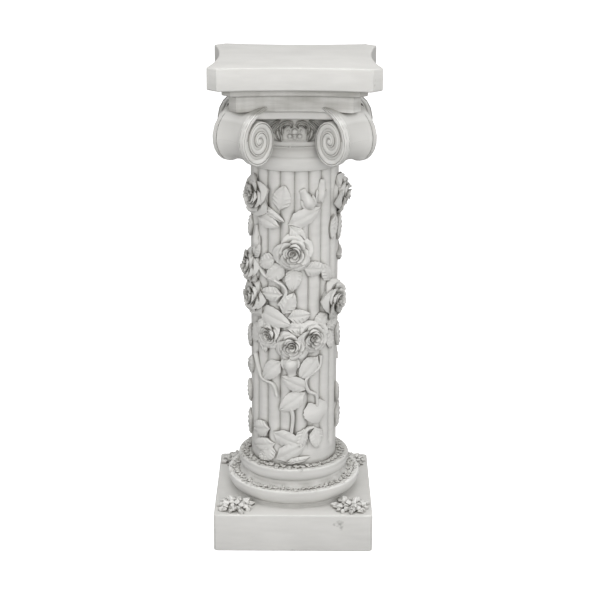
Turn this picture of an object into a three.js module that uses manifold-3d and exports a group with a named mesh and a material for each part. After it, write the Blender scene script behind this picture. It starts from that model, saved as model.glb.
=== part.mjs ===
// Column pedestal: a square plinth, a moulded base with two foliage wreaths, a reeded shaft
// with a climbing rose garland, and a capital with four corner scrolls under a square slab.
// It is one casting, so it is one solid. Millimetres, +Z up, origin at the centre of the
// underside. Angles run round the axis in degrees from the front (-Y) towards +X.

import * as THREE from 'three';
import { mergeVertices } from 'three/addons/utils/BufferGeometryUtils.js';
import Module from 'manifold-3d';

// Overall sizes
const HEIGHT = 762;
const SLAB_SIDE = 255;
const PLINTH_SIDE = 249;
const PLINTH_TOP = 62;
const PLINTH_EDGE = 3;

// Base mouldings: two bowls with a wreath on top of each and a hollow between them
const ROUND_SEGMENTS = 28;
const LOWER_FOOT_RADIUS = 89;
const LOWER_RADIUS = 106;
const LOWER_RIM = 90;
const HOLLOW_RADIUS = 79.5;
const UPPER_FOOT = 107;
const UPPER_RADIUS = 88.5;
const UPPER_RIM = 120;
const WREATH_HEIGHT = 6;
const WREATH_WIDTH = 15;
const WREATH_BUMP = 2;
const SINK = 6;

// Shaft
const SHAFT_RADIUS = 68;
const SHAFT_TOP = 605;
const REEDS = 18;
const REED_DEPTH = 5.5;
const REED_FOOT = 146;
const REED_END = 12;
const REED_FACETS = 4;

// Capital: collar, hollow neck, bead, carved bell, then the stepped block under the slab
const COLLAR_FOOT = 599;
const COLLAR_TOP = 619;
const COLLAR_RADIUS = 70.5;
const NECK_RADIUS = 62;
const NECK_TOP = 633;
const BEAD_RADIUS = 68;
const BEAD_FOOT = 635;
const BEAD_TOP = 645;
const BELL_RADIUS = 64;
const BELL_BEAD = 7;
const BELL_LEAF = 32;
const BELL_CURL = 70;
const BELL_LEAN = 0.6;
const BELL_SEGMENTS = 20;
const STEPS_UNDER_SLAB = [
  { foot: 679, top: 695, half: 86, hollow: 11, cut: 14, edge: 1.5 },
  { foot: 692, top: 719, half: 97, hollow: 11, cut: 11, edge: 2 },
  { foot: 717, top: 730, half: 107, hollow: 11, cut: 13, edge: 2 },
  { foot: 728, top: HEIGHT, half: SLAB_SIDE / 2, hollow: 12, cut: 15, edge: 2.5 },
];

// Corner scrolls: the eye's place on the diagonal and the coil round it
const SCROLL_REACH = 105;
const SCROLL_HEIGHT = 650;
const SCROLL_HALF_LENGTH = 31.5;
const SCROLL_TALLNESS = 1.16;
const COIL_RADIUS = 34.5;
const COIL_PITCH = 12.4;
const COIL_TURNS = 2;
const RIBBON = 8;
const RIBBON_INSET = 1.5;
const RIBBON_RAISE = 3;
const WAIST = 0.86;

// Foliage spurs on the plinth's corners
const SPUR_PLACE = 92;
const SPUR_FLOWER = 22;
const SPUR_LEAF = 31;
const SPUR_SPREAD = 60;
const SPUR_FLATNESS = 0.6;

// Garland
const LEAF_LIFT = 7;
const LEAF_VALLEY = 2;
const LEAF_ROOT = -6;
const ROSE_HEIGHT = 17;
const PETAL_LOBE = 0.1;
const PETAL_RISE = 1.2;
const STEM_RADIUS = 4;
const STEM_LIFT = -1.5;

// Places on the shaft: [angle, height, diameter]
const ROSES = [
  [-58, 553, 55], [0, 471, 57], [-70, 438, 51], [-60, 393, 51], [-3, 322, 46],
  [25, 335, 48], [62, 390, 57], [84, 556, 54], [-33, 338, 40],
];
const BACK_ROSES = [
  [130, 450, 48], [145, 300, 46], [172, 545, 50], [200, 400, 50], [230, 250, 46],
];
// [angle, height, lean, width, length]
const BUDS = [
  [16, 556, -25, 21, 32], [36, 566, 8, 16, 34], [-56, 490, -5, 15, 34], [-4, 288, 0, 25, 25],
];
// [angle, height, lean, length, width] at the leaf's base; a lean of 0 points up, 90 to the right
const LEAVES = [
  [-19, 537, 11, 40, 27], [-54, 528, 106, 43, 23], [-9, 516, 64, 56, 26], [-23, 463, -112, 35, 23],
  [-11, 454, -132, 41, 25], [0, 452, 180, 39, 24], [10, 449, 102, 39, 24], [-14, 405, -90, 37, 23],
  [-53, 378, 106, 60, 28], [-15, 373, 31, 39, 24], [-15, 298, -132, 49, 26], [33, 304, -139, 45, 30],
  [19, 251, -66, 45, 25], [16, 247, -124, 51, 27], [29, 224, 168, 33, 42], [28, 187, 168, 37, 24],
  [-29, 178, 116, 53, 27], [-32, 181, -100, 37, 26], [-25, 131, 61, 56, 28], [-85, 150, -15, 43, 25],
  [-88, 205, -10, 39, 23], [80, 165, 25, 46, 23],
];
// Stems as [angle, height] points
const STEMS = [
  [[-60, 300], [-50, 273], [-43, 262], [-28, 257], [-22, 238]],
  [[37, 304], [34, 285], [16, 268], [19, 248], [30, 239], [32, 221]],
  [[-4, 222], [-1, 204], [-3, 176]],
  [[-55, 455], [-42, 434], [-28, 428], [-15, 421], [-10, 411], [-13, 400], [-20, 388]],
];

const wasm = await Module();
wasm.setup();

const radians = THREE.MathUtils.degToRad;

// A closed three.js geometry as a solid that can be joined and cut
function solid(geometry) {
  geometry.deleteAttribute('normal');
  geometry.deleteAttribute('uv');
  const merged = mergeVertices(geometry, 1e-4);
  const corners = merged.index.array;
  const triangles = [];
  for (let i = 0; i < corners.length; i += 3) {
    const [a, b, c] = corners.slice(i, i + 3);
    if (a !== b && b !== c && c !== a) triangles.push(a, b, c);
  }
  return new wasm.Manifold(new wasm.Mesh({
    numProp: 3,
    vertProperties: Float32Array.from(merged.attributes.position.array),
    triVerts: Uint32Array.from(triangles),
  }));
}

// Moves every vertex of a geometry by a function of its place
function reshape(geometry, place) {
  const positions = geometry.attributes.position;
  for (let i = 0; i < positions.count; i += 1) {
    const moved = place(new THREE.Vector3().fromBufferAttribute(positions, i));
    positions.setXYZ(i, moved.x, moved.y, moved.z);
  }
  return geometry;
}

// A turned body from [radius, height] points
function turned(profile, segments) {
  const points = profile.map(([radius, height]) => new THREE.Vector2(radius, height));
  return new THREE.LatheGeometry(points, segments).rotateX(Math.PI / 2);
}

// A place on the shaft at an angle and height, lifted off its surface
function onShaft(angle, height, lift) {
  const radius = SHAFT_RADIUS + lift;
  return new THREE.Vector3(radius * Math.sin(angle), -radius * Math.cos(angle), height);
}

// A shape drawn flat (x across, y along, z out) is turned to its lean and laid round the shaft
function laidOnShaft(geometry, angle, height, lean) {
  const turn = radians(lean);
  return reshape(geometry, (p) => {
    const across = p.x * Math.cos(turn) + p.y * Math.sin(turn);
    const along = p.y * Math.cos(turn) - p.x * Math.sin(turn);
    return onShaft(radians(angle) + across / SHAFT_RADIUS, height + along, p.z);
  });
}

// A stiff shape (x across, y up, z out) set on an upright face at an angle round the axis
function facing(geometry, angle, height, radius) {
  return geometry
    .rotateX(Math.PI / 2)
    .translate(0, -radius, height)
    .rotateZ(radians(angle));
}

// Plinth and base

function plinth() {
  const half = PLINTH_SIDE / 2 - PLINTH_EDGE;
  const outline = new THREE.Shape([
    new THREE.Vector2(-half, -half),
    new THREE.Vector2(half, -half),
    new THREE.Vector2(half, half),
    new THREE.Vector2(-half, half),
  ]);
  return new THREE.ExtrudeGeometry(outline, {
    depth: PLINTH_TOP - 2 * PLINTH_EDGE,
    bevelThickness: PLINTH_EDGE,
    bevelSize: PLINTH_EDGE,
    bevelSegments: 1,
  }).translate(0, 0, PLINTH_EDGE);
}

// The bulging side of a bowl as points from its foot to its rim
function bowlSide(footRadius, foot, radius, rim, steps) {
  return Array.from({ length: steps + 1 }, (_, i) => {
    const t = (i / steps) * (Math.PI / 2);
    return [footRadius + (radius - footRadius) * Math.sin(t), rim - (rim - foot) * Math.cos(t)];
  });
}

// The wreath on a rim: up the outside, over the top and down the inside
function wreathSide(radius, rim) {
  return [
    [radius - 0.2 * WREATH_WIDTH, rim + 0.8 * WREATH_HEIGHT],
    [radius - 0.6 * WREATH_WIDTH, rim + WREATH_HEIGHT],
    [radius - WREATH_WIDTH, rim + 0.3 * WREATH_HEIGHT],
  ];
}

// The wreath's leaves: every other vertex of its crest stands higher and further out
function raiseWreath(geometry, radius, rim) {
  return reshape(geometry, (p) => {
    const reach = Math.hypot(p.x, p.y);
    const inBand = reach > radius - 0.7 * WREATH_WIDTH && reach < radius - 0.1 * WREATH_WIDTH;
    if (!inBand || p.z < rim + 0.5 * WREATH_HEIGHT || p.z > rim + 1.1 * WREATH_HEIGHT) return p;
    const step = Math.round(Math.atan2(p.x, -p.y) / (2 * Math.PI / ROUND_SEGMENTS));
    const side = step % 2 === 0 ? 1 : -1;
    const grow = 1 + (side * WREATH_BUMP) / (2 * reach);
    return new THREE.Vector3(p.x * grow, p.y * grow, p.z + side * WREATH_BUMP);
  });
}

function base() {
  const foot = PLINTH_TOP - SINK;
  const profile = [
    [0, foot],
    [LOWER_FOOT_RADIUS, foot],
    ...bowlSide(LOWER_FOOT_RADIUS, PLINTH_TOP, LOWER_RADIUS, LOWER_RIM, 3),
    ...wreathSide(LOWER_RADIUS, LOWER_RIM),
    [HOLLOW_RADIUS, LOWER_RIM + WREATH_HEIGHT],
    [HOLLOW_RADIUS, UPPER_FOOT],
    ...bowlSide(HOLLOW_RADIUS + 2, UPPER_FOOT, UPPER_RADIUS, UPPER_RIM, 2),
    ...wreathSide(UPPER_RADIUS, UPPER_RIM),
    [0, UPPER_RIM],
  ];
  const body = turned(profile, ROUND_SEGMENTS);
  raiseWreath(body, LOWER_RADIUS, LOWER_RIM);
  return raiseWreath(body, UPPER_RADIUS, UPPER_RIM);
}

// How far the shaft's surface lies below the crowns of its reeds at an angle: the reeds are round
// and meet in creases, one of them at the front
function reedDrop(angle) {
  const pitch = (2 * Math.PI * SHAFT_RADIUS) / REEDS;
  const crown = REED_DEPTH / 2 + pitch ** 2 / (8 * REED_DEPTH);
  const count = (angle * REEDS) / (2 * Math.PI) + 0.5;
  const aside = (count - Math.round(count)) * pitch;
  return crown - Math.sqrt(crown ** 2 - aside ** 2);
}

// The shaft is plain at its foot, and the reeds rise out of it over a short length
function shaft() {
  const levels = [UPPER_RIM - SINK, REED_FOOT, REED_FOOT + REED_END, SHAFT_TOP];
  const bands = levels.length - 1;
  const tube = new THREE.CylinderGeometry(1, 1, bands, REEDS * REED_FACETS, bands).rotateX(Math.PI / 2);
  return solid(reshape(tube, (p) => {
    const level = Math.round(p.z + bands / 2);
    const angle = Math.atan2(p.x, -p.y);
    const reach = Math.hypot(p.x, p.y) * (SHAFT_RADIUS - (level < 2 ? 0 : reedDrop(angle)));
    return new THREE.Vector3(reach * Math.sin(angle), -reach * Math.cos(angle), levels[level]);
  }));
}

// Capital

function collarAndBell() {
  const top = STEPS_UNDER_SLAB[1].foot + SINK;
  return turned([
    [0, COLLAR_FOOT],
    [COLLAR_RADIUS, COLLAR_FOOT],
    [COLLAR_RADIUS - 1, COLLAR_TOP - 3],
    [COLLAR_RADIUS - 3.5, COLLAR_TOP],
    [NECK_RADIUS + 0.5, COLLAR_TOP + 1],
    [NECK_RADIUS, NECK_TOP - 5],
    [NECK_RADIUS + 3, NECK_TOP],
    [BEAD_RADIUS - 1.5, BEAD_FOOT],
    [BEAD_RADIUS, (BEAD_FOOT + BEAD_TOP) / 2],
    [BEAD_RADIUS - 1.5, BEAD_TOP],
    [BELL_RADIUS, BEAD_TOP + 1],
    [BELL_RADIUS, top],
    [0, top],
  ], BELL_SEGMENTS);
}

// A square with cut corners and hollow sides
function hollowSquare({ half, hollow, cut }) {
  const reach = half - cut;
  const arcSteps = 4;
  const outline = [];
  for (let side = 0; side < 4; side += 1) {
    for (let i = 0; i <= arcSteps; i += 1) {
      const along = -1 + (2 * i) / arcSteps;
      const corner = new THREE.Vector2(along * reach, -half + hollow * (1 - along * along));
      outline.push(corner.rotateAround(new THREE.Vector2(), side * Math.PI / 2));
    }
  }
  return new THREE.Shape(outline);
}

function stepUnderSlab(step) {
  const inner = { half: step.half - step.edge, hollow: step.hollow, cut: step.cut };
  return new THREE.ExtrudeGeometry(hollowSquare(inner), {
    depth: step.top - step.foot - 2 * step.edge,
    bevelThickness: step.edge,
    bevelSize: step.edge,
    bevelSegments: 1,
  }).translate(0, 0, step.foot + step.edge);
}

// The coil's edge at a turn, from its outermost point inwards: x outwards, y up
function coilPoint(turns, inset) {
  const radius = COIL_RADIUS - COIL_PITCH * turns - inset;
  const angle = -2 * Math.PI * turns;
  return new THREE.Vector2(radius * Math.cos(angle), SCROLL_TALLNESS * radius * Math.sin(angle));
}

// The scroll's section: under the coil's first turn and back up to the block
function scrollSection() {
  const blockUnderside = STEPS_UNDER_SLAB[1].foot - SCROLL_HEIGHT + SINK;
  const inside = NECK_RADIUS - SCROLL_REACH;
  const coil = Array.from({ length: 9 }, (_, i) => coilPoint(i / 16, 0));
  const outline = new THREE.Shape([...coil, new THREE.Vector2(inside, 0)]);
  outline.lineTo(inside, blockUnderside);
  outline.lineTo(0.25 * COIL_RADIUS, blockUnderside);
  outline.quadraticCurveTo(COIL_RADIUS, 0.85 * blockUnderside, COIL_RADIUS, 0);
  return outline;
}

// The raised ribbon on a scroll's end, coiling in to the eye
function coilRibbon() {
  const steps = 12;
  const turnsAt = (i) => (COIL_TURNS * i) / steps;
  const narrow = (i) => RIBBON * (1 - 0.4 * (i / steps));
  const outer = Array.from({ length: steps + 1 }, (_, i) => coilPoint(turnsAt(i), RIBBON_INSET));
  const inner = outer.map((_, i) => coilPoint(turnsAt(i), narrow(i))).reverse();
  return new THREE.Shape([...outer, ...inner]);
}

// One corner scroll, its axis across the diagonal, waisted between its two coiled ends
function scroll(index) {
  const length = 2 * SCROLL_HALF_LENGTH;
  const waisted = new THREE.ExtrudeGeometry(scrollSection(), {
    depth: length,
    steps: 2,
    curveSegments: 4,
    bevelEnabled: false,
  }).translate(0, 0, -SCROLL_HALF_LENGTH);
  reshape(waisted, (p) => {
    const end = Math.abs(p.z) / SCROLL_HALF_LENGTH;
    const width = WAIST + (1 - WAIST) * end * end;
    const sideways = p.x > 0 ? width : 1;
    const upwards = p.y < 0 ? width : 1;
    return new THREE.Vector3(p.x * sideways, p.y * upwards, p.z);
  });
  const ends = [-1, 1].map((side) => {
    const ribbon = new THREE.ExtrudeGeometry(coilRibbon(), {
      depth: 2 * RIBBON_RAISE,
      bevelEnabled: false,
    });
    return ribbon.translate(0, 0, side * SCROLL_HALF_LENGTH - RIBBON_RAISE);
  });
  return [waisted, ...ends].map((piece) => solid(piece
    .rotateX(Math.PI / 2)
    .translate(SCROLL_REACH, 0, SCROLL_HEIGHT)
    .rotateZ(radians(45 + 90 * index))));
}

// Foliage

// A leaf with its base at the origin and its tip along y: a keel underneath, a valley along
// the midrib, and edges that curl up towards the tip; bend turns its tip to the right
function leaf(length, width, bend = 0) {
  return reshape(new THREE.SphereGeometry(1, 4, 3), (p) => {
    const station = (p.y + 1) / 2;
    const halfWidth = (width / 2) * Math.sin(Math.PI * station ** 0.8);
    const side = Math.abs(p.x) > 0.01 ? Math.sign(p.x) : 0;
    const top = side === 0 ? LEAF_LIFT - LEAF_VALLEY : LEAF_LIFT;
    const rise = p.z < -0.1 ? LEAF_ROOT : top * (0.6 + 0.4 * station);
    const turn = radians(bend) * station;
    const across = side * halfWidth * Math.cos(turn) + length * station * Math.sin(turn);
    const along = length * station * Math.cos(turn) - side * halfWidth * Math.sin(turn);
    return new THREE.Vector3(across, along, rise);
  });
}

// A rose facing up z: two rings of five petals round a closed heart
function rose(diameter) {
  const radius = diameter / 2;
  const petals = 5;
  const rings = [
    [0, -0.7], [0.96, 0.3], [0.92, 0.62], [0.66, 0.5], [0.58, 0.86], [0.36, 0.62], [0, 1],
  ];
  const profile = rings.map(([reach, rise]) => [reach * radius, rise * ROSE_HEIGHT]);
  return reshape(turned(profile, 2 * petals), (p) => {
    if (p.z < 0) return p;
    const outer = Math.hypot(p.x, p.y) > 0.63 * radius;
    const lobe = Math.cos(petals * Math.atan2(p.y, p.x) + (outer ? 0 : Math.PI));
    const grow = 1 + PETAL_LOBE * lobe;
    return new THREE.Vector3(p.x * grow, p.y * grow, p.z + PETAL_RISE * lobe);
  });
}

function bud(width, length) {
  return new THREE.SphereGeometry(1, 6, 4).scale(width / 2, length / 2, width / 2);
}

function stem(points) {
  const route = points.map(([angle, height]) => onShaft(radians(angle), height, STEM_LIFT));
  const section = new THREE.Shape([
    new THREE.Vector2(STEM_RADIUS, 0),
    new THREE.Vector2(0, STEM_RADIUS),
    new THREE.Vector2(-STEM_RADIUS, 0),
    new THREE.Vector2(0, -STEM_RADIUS),
  ]);
  return new THREE.ExtrudeGeometry(section, {
    steps: points.length + 1,
    extrudePath: new THREE.CatmullRomCurve3(route),
  });
}

function garland() {
  const pieces = [];
  for (const [angle, height, diameter] of [...ROSES, ...BACK_ROSES]) {
    pieces.push(facing(rose(diameter), angle, height, SHAFT_RADIUS));
  }
  for (const [angle, height, lean, width, length] of BUDS) {
    pieces.push(laidOnShaft(bud(width, length), angle, height, lean));
  }
  for (const [angle, height, lean, length, width] of LEAVES) {
    pieces.push(laidOnShaft(leaf(length, width), angle, height, lean));
  }
  // Two leaves beside each rose on the hidden side
  BACK_ROSES.forEach(([angle, height, diameter], index) => {
    for (let k = 0; k < 2; k += 1) {
      const lean = 60 * index + 150 * k;
      pieces.push(laidOnShaft(leaf(1.2 * diameter, 0.5 * diameter), angle, height, lean));
    }
  });
  pieces.push(...STEMS.map(stem));
  return pieces.map(solid);
}

// The bell's carving on each of its four faces: two leaves that curl in over a bead
function bellCarving(face) {
  const angle = 90 * face;
  const pieces = [];
  for (const side of [-1, 1]) {
    const curled = leaf(BELL_LEAF, BELL_LEAF / 2, -side * BELL_CURL).rotateZ(-side * BELL_LEAN);
    pieces.push(facing(curled.translate(side * BELL_BEAD, 0, 0), angle, BEAD_TOP, BELL_RADIUS));
  }
  const bead = new THREE.OctahedronGeometry(BELL_BEAD).translate(0, 2 * BELL_BEAD, 0);
  pieces.push(facing(bead, angle, BEAD_TOP, BELL_RADIUS));
  return pieces.map(solid);
}

// The foliage spur in a corner of the plinth: a small flower between two leaves
function spur(corner) {
  const reach = SPUR_PLACE * Math.SQRT2;
  const flower = new THREE.SphereGeometry(SPUR_FLOWER / 2, 5, 3).rotateX(Math.PI / 2);
  const pieces = [flower];
  for (const lean of [-SPUR_SPREAD, SPUR_SPREAD]) {
    pieces.push(leaf(SPUR_LEAF, 0.6 * SPUR_LEAF).rotateZ(radians(180 - lean)));
  }
  return pieces.map((piece) => solid(piece
    .scale(1, 1, SPUR_FLATNESS)
    .translate(0, -reach, PLINTH_TOP)
    .rotateZ(radians(45 + 90 * corner))));
}

function pedestal() {
  const pieces = [solid(plinth()), solid(base()), solid(collarAndBell()), ...garland()];
  pieces.push(...STEPS_UNDER_SLAB.map((step) => solid(stepUnderSlab(step))));
  for (let quarter = 0; quarter < 4; quarter += 1) {
    pieces.push(...scroll(quarter), ...bellCarving(quarter), ...spur(quarter));
  }
  return pieces.reduce((joined, piece) => joined.add(piece), shaft());
}

const mesh = pedestal().getMesh();
const geometry = new THREE.BufferGeometry();
geometry.setAttribute('position', new THREE.BufferAttribute(mesh.vertProperties, mesh.numProp));
geometry.setIndex(new THREE.BufferAttribute(mesh.triVerts, 1));
geometry.computeVertexNormals();

const castStone = new THREE.MeshStandardMaterial({ color: 0xd7d5d0, roughness: 0.75, metalness: 0 });
const columnPedestal = new THREE.Mesh(geometry, castStone);
columnPedestal.name = 'column_pedestal';

const group = new THREE.Group();
group.add(columnPedestal);

export default group;
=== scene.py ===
import math

import bmesh
import bpy
import numpy as np
from mathutils import Matrix, Vector


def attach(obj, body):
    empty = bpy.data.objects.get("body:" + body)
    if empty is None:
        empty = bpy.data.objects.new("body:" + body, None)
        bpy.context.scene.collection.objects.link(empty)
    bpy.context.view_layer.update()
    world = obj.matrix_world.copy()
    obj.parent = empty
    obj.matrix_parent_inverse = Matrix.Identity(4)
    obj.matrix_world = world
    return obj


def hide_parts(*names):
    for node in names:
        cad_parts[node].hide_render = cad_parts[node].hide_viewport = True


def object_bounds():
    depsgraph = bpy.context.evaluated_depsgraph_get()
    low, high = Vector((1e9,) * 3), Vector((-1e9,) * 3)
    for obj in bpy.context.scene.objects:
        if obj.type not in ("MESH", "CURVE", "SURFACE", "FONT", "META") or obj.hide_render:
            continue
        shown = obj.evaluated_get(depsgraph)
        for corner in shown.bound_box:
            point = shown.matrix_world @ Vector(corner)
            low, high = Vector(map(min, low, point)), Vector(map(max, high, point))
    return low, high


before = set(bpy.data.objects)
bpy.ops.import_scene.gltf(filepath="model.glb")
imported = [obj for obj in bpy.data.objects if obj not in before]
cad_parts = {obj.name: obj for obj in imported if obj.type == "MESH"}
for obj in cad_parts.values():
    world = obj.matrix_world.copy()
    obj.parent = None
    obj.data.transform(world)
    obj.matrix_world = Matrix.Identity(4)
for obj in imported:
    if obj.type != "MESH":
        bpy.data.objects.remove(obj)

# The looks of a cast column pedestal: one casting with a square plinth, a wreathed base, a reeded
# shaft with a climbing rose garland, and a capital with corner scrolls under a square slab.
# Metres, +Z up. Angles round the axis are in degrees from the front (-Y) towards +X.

CAD_BOX = [list(corner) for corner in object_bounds()]
HEIGHT = CAD_BOX[1][2]

# Plinth and base
PLINTH_HALF = 0.1245
PLINTH_TOP = 0.062
PLINTH_CUT = 0.003
SOFT_EDGE = 0.0025
LOWER_FOOT_RADIUS = 0.092
LOWER_RADIUS = 0.106
LOWER_RIM = 0.090
HOLLOW_RADIUS = 0.0795
UPPER_FOOT = 0.102
UPPER_RADIUS = 0.0885
UPPER_RIM = 0.120
WREATH_WIDTH = 0.015
SINK = 0.006
ROUND_STEPS = 84

# Finish of the whole skin
NEARLY_STRAIGHT = math.radians(12)
SHARP_EDGE = math.radians(42)

# Shaft
SHAFT_RADIUS = 0.068
SHAFT_TOP = 0.605
REEDS = 18
REED_DEPTH = 0.0055
REED_FOOT = 0.146
REED_END = 0.012
REED_STEPS = 8
SHAFT_LEVELS = 15
SHAFT_FOOT_BAND = 0.056

# Capital
COLLAR_FOOT = 0.599
COLLAR_TOP = 0.619
COLLAR_RADIUS = 0.0705
NECK_RADIUS = 0.062
NECK_TOP = 0.633
BEAD_RADIUS = 0.068
BEAD_FOOT = 0.635
BEAD_TOP = 0.645
BELL_RADIUS = 0.064
BELL_TOP = 0.679
# Each step: foot, top, half width, hollow of its sides, corner cut
STEPS_UNDER_SLAB = [
    (BELL_TOP, 0.695, 0.086, 0.011, 0.014),
    (0.692, 0.719, 0.097, 0.011, 0.011),
    (0.717, 0.730, 0.107, 0.011, 0.013),
    (0.728, HEIGHT, 0.1275, 0.012, 0.015),
]

# Corner scrolls
SCROLL_REACH = 0.105
SCROLL_HEIGHT = 0.650
SCROLL_HALF_LENGTH = 0.0315
SCROLL_TALLNESS = 1.16
COIL_RADIUS = 0.0345
COIL_PITCH = 0.0124
COIL_TURNS = 2.5
COIL_HEART = 0.0004
COIL_STEPS = 60
EYE_RADII = (0.0042, 0.0042, 0.0046)
RIBBON_RAISE = 0.0035
LEAD_BAND = 0.0085
LEAD_OUT = 0.062
LEAD_UP = 0.052
LEAD_TAPER = 0.45
WAIST = 0.84

# Garland on the shaft: roses as (angle, height, diameter, turn about their own axis)
ROSES = [
    (-58, 0.553, 0.058, 10), (0, 0.471, 0.054, 80), (-70, 0.438, 0.054, 140), (-60, 0.393, 0.054, 200),
    (-3, 0.322, 0.047, 30), (25, 0.335, 0.050, 100), (62, 0.390, 0.060, 160), (84, 0.556, 0.058, 250),
    (-33, 0.338, 0.040, 310),
]
BACK_ROSES = [
    (130, 0.450, 0.052, 20), (145, 0.300, 0.050, 120), (172, 0.545, 0.054, 220), (200, 0.400, 0.054, 60),
    (230, 0.250, 0.050, 170),
]
# Buds as (angle, height, lean, width, length)
BUDS = [
    (16, 0.556, -25, 0.021, 0.034), (36, 0.566, 8, 0.016, 0.036),
    (-56, 0.490, -5, 0.015, 0.036), (-4, 0.289, 175, 0.027, 0.032),
]
# Leaves as (angle, height, lean, length, width) at the leaf's base; a lean of 0 points up, 90 right
LEAVES = [
    (-19, 0.537, 11, 0.041, 0.028), (-54, 0.528, 106, 0.044, 0.024), (-46, 0.543, 122, 0.046, 0.015),
    (-9, 0.516, 64, 0.057, 0.027), (-7, 0.516, 132, 0.036, 0.020), (-23, 0.463, -112, 0.036, 0.024),
    (-11, 0.454, -132, 0.042, 0.026), (0, 0.452, 180, 0.040, 0.025), (10, 0.449, 102, 0.040, 0.025),
    (-14, 0.405, -90, 0.038, 0.024), (-53, 0.378, 106, 0.062, 0.030), (-15, 0.373, 31, 0.040, 0.025),
    (-9, 0.369, 82, 0.036, 0.024), (-11, 0.352, 86, 0.038, 0.021), (-15, 0.298, -132, 0.050, 0.027),
    (33, 0.304, -139, 0.046, 0.031), (19, 0.251, -66, 0.046, 0.026), (16, 0.247, -124, 0.052, 0.028),
    (14, 0.186, -165, 0.036, 0.020), (28, 0.187, 168, 0.038, 0.025),
    (-29, 0.178, 116, 0.054, 0.028), (-32, 0.181, -100, 0.038, 0.028), (-24, 0.158, -110, 0.044, 0.026),
    (-25, 0.131, 61, 0.058, 0.029), (-30, 0.156, -160, 0.034, 0.026), (-42, 0.146, 172, 0.028, 0.020),
    (-12, 0.127, 80, 0.042, 0.014), (-46, 0.356, -150, 0.044, 0.026), (-40, 0.368, -175, 0.040, 0.025),
    (-50, 0.345, 165, 0.040, 0.024), (-62, 0.455, 30, 0.030, 0.020), (-52, 0.425, -60, 0.036, 0.022),
    (47, 0.372, -130, 0.036, 0.024), (50, 0.345, 170, 0.036, 0.022), (44, 0.345, 60, 0.034, 0.020),
    (52, 0.420, -25, 0.036, 0.022), (64, 0.525, -165, 0.040, 0.022), (76, 0.350, 175, 0.044, 0.024),
    (-72, 0.522, -160, 0.040, 0.022), (-85, 0.150, -15, 0.044, 0.026), (-88, 0.205, -10, 0.040, 0.024),
    (-84, 0.300, 5, 0.040, 0.022), (-80, 0.258, 20, 0.036, 0.022), (80, 0.165, 25, 0.048, 0.024),
    (85, 0.205, -10, 0.042, 0.022), (78, 0.478, 10, 0.044, 0.024),
]
HEART_LEAVES = [(29, 0.222, 168, 0.032, 0.044)]
LEAVES_PER_BACK_ROSE = 4
# Stems as (angle, height) points
STEMS = [
    [(-60, 0.300), (-50, 0.273), (-43, 0.262), (-28, 0.257), (-22, 0.238)],
    [(37, 0.304), (34, 0.285), (16, 0.268), (19, 0.248), (30, 0.239), (32, 0.221)],
    [(-4, 0.222), (-1, 0.204), (-3, 0.176)],
    [(-55, 0.455), (-42, 0.434), (-28, 0.428), (-15, 0.421), (-10, 0.411), (-13, 0.400), (-20, 0.388)],
    [(13, 0.164), (17, 0.182), (27, 0.186)],
    [(130, 0.450), (140, 0.410), (128, 0.370), (145, 0.300)],
    [(172, 0.545), (185, 0.500), (180, 0.460), (200, 0.400), (215, 0.340), (205, 0.300), (230, 0.250)],
]
STEM_RADIUS = 0.0037
STEM_LIFT = 0.0008
LEAF_RELIEF = 0.036

# Wreaths, corner spurs and bell carving
LOWER_WREATH = 60
UPPER_WREATH = 52
SPUR_PLACE = 0.092
SPUR_WIDTH = 1.1
BELL_RELIEF = 0.0056

# Photograph's viewpoint
CAMERA_PLACE = (0.0091, -2.3922, 1.1239)
CAMERA_PITCH = 0.303
CAMERA_ROLL = 0.005
CAMERA_LENS = 95.2

# Soft lights as (name, place, power), all of one size and aimed at the middle of the column
LIGHTS = [
    ("front_softbox", (0.25, -2.4, 1.0), 34.0), ("right_softbox", (2.0, -0.6, 1.2), 6.0),
    ("left_softbox", (-2.0, -0.6, 1.2), 6.0), ("top_softbox", (0.0, -0.5, 2.6), 18.0),
]
LIGHT_SIZE = 1.2
LIGHT_AIM = (0.0, 0.0, 0.4)


# Node trees

class Field:
    """A socket of a node tree, so that maths on it reads as an expression."""

    def __init__(self, nodes, socket):
        self.nodes = nodes
        self.socket = socket

    def maths(self, operation, *values):
        settings = {"operation": operation}
        return self.nodes.add("ShaderNodeMath", settings, dict(enumerate(values)))

    def __add__(self, other):
        return self.maths("ADD", self, other)

    def __sub__(self, other):
        return self.maths("SUBTRACT", self, other)

    def __rsub__(self, other):
        return self.maths("SUBTRACT", other, self)

    def __mul__(self, other):
        return self.maths("MULTIPLY", self, other)

    def __truediv__(self, other):
        return self.maths("DIVIDE", self, other)

    def __neg__(self):
        return self.maths("MULTIPLY", self, -1.0)

    __radd__ = __add__
    __rmul__ = __mul__

    def sine(self):
        return self.maths("SINE", self)

    def cosine(self):
        return self.maths("COSINE", self)

    def root(self):
        return self.maths("SQRT", self)

    def rounded(self):
        return self.maths("ROUND", self)

    def at_least(self, other):
        return self.maths("MAXIMUM", self, other)

    def at_most(self, other):
        return self.maths("MINIMUM", self, other)

    def angle_to(self, other):
        return self.maths("ARCTAN2", self, other)

    def part(self, name):
        return self.nodes.add("ShaderNodeSeparateXYZ", {}, {0: self}, name)


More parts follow.
